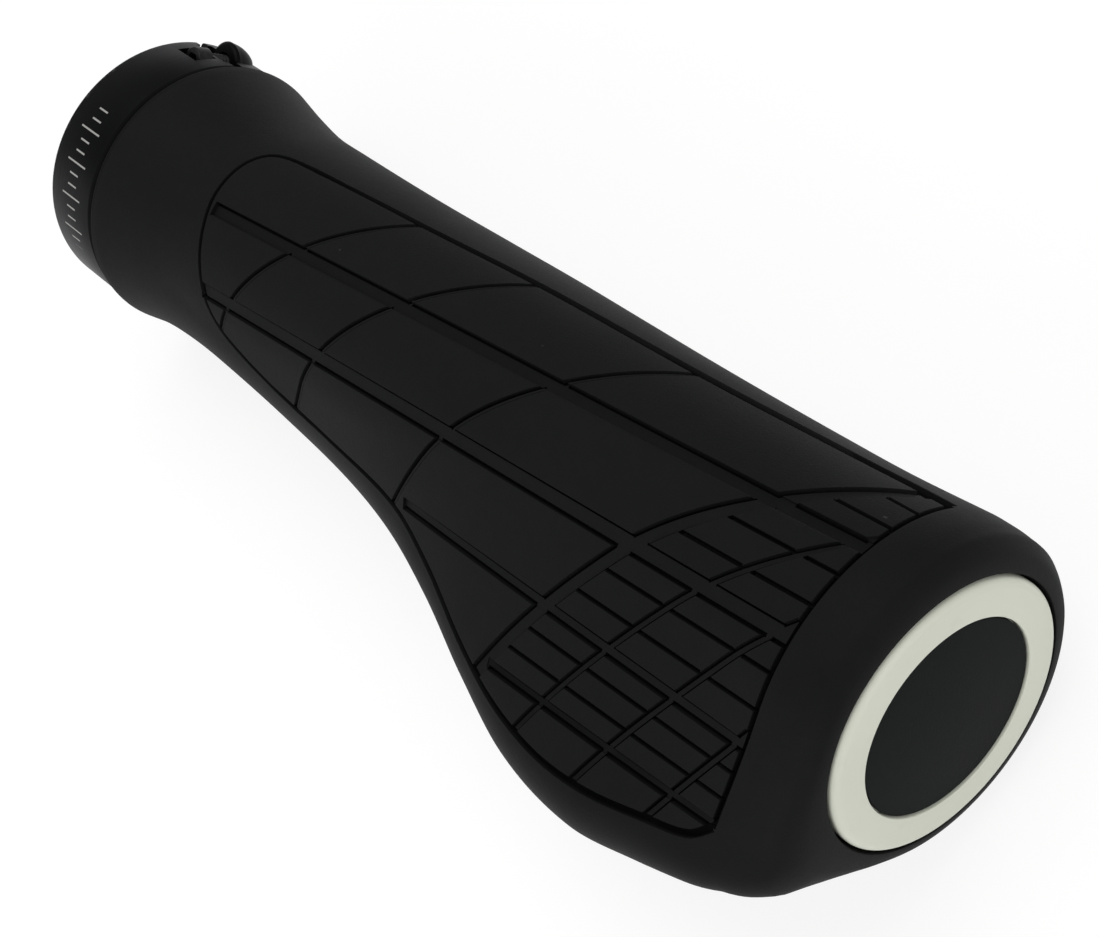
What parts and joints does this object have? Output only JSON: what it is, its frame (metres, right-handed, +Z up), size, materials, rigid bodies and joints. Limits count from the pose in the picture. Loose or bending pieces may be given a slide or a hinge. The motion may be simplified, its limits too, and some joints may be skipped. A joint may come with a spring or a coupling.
{
  "type": "handlebar grip",
  "caption": "Contoured right-hand bicycle handlebar grip with a palm wing, patterned rubber, an inboard clamp ring and a white-rimmed end plug.",
  "frame": {"origin": "on the bar's axis, in the inboard face of the clamp ring", "axes": "+X outboard along the bar, -Y towards the rider and the palm wing, +Z up, the side that the palm rests on"},
  "size_m": [0.1346, 0.0464, 0.0346],
  "materials": {
    "anodised_aluminium": "black anodised, satin",
    "steel": "dark plated steel",
    "rubber": "matte moulded rubber, fine grain",
    "nylon": "black glass-filled nylon",
    "white_plastic": "off-white moulded plastic, satin",
    "grained_plastic": "black, grained"
  },
  "bodies": {
    "root": {"clamp_ring": "anodised_aluminium", "clamp_screw": "steel", "rubber_sleeve": "rubber", "core_sleeve": "nylon", "end_plug": "white_plastic", "end_plug_inlay": "grained_plastic"}
  },
  "joints": []
}
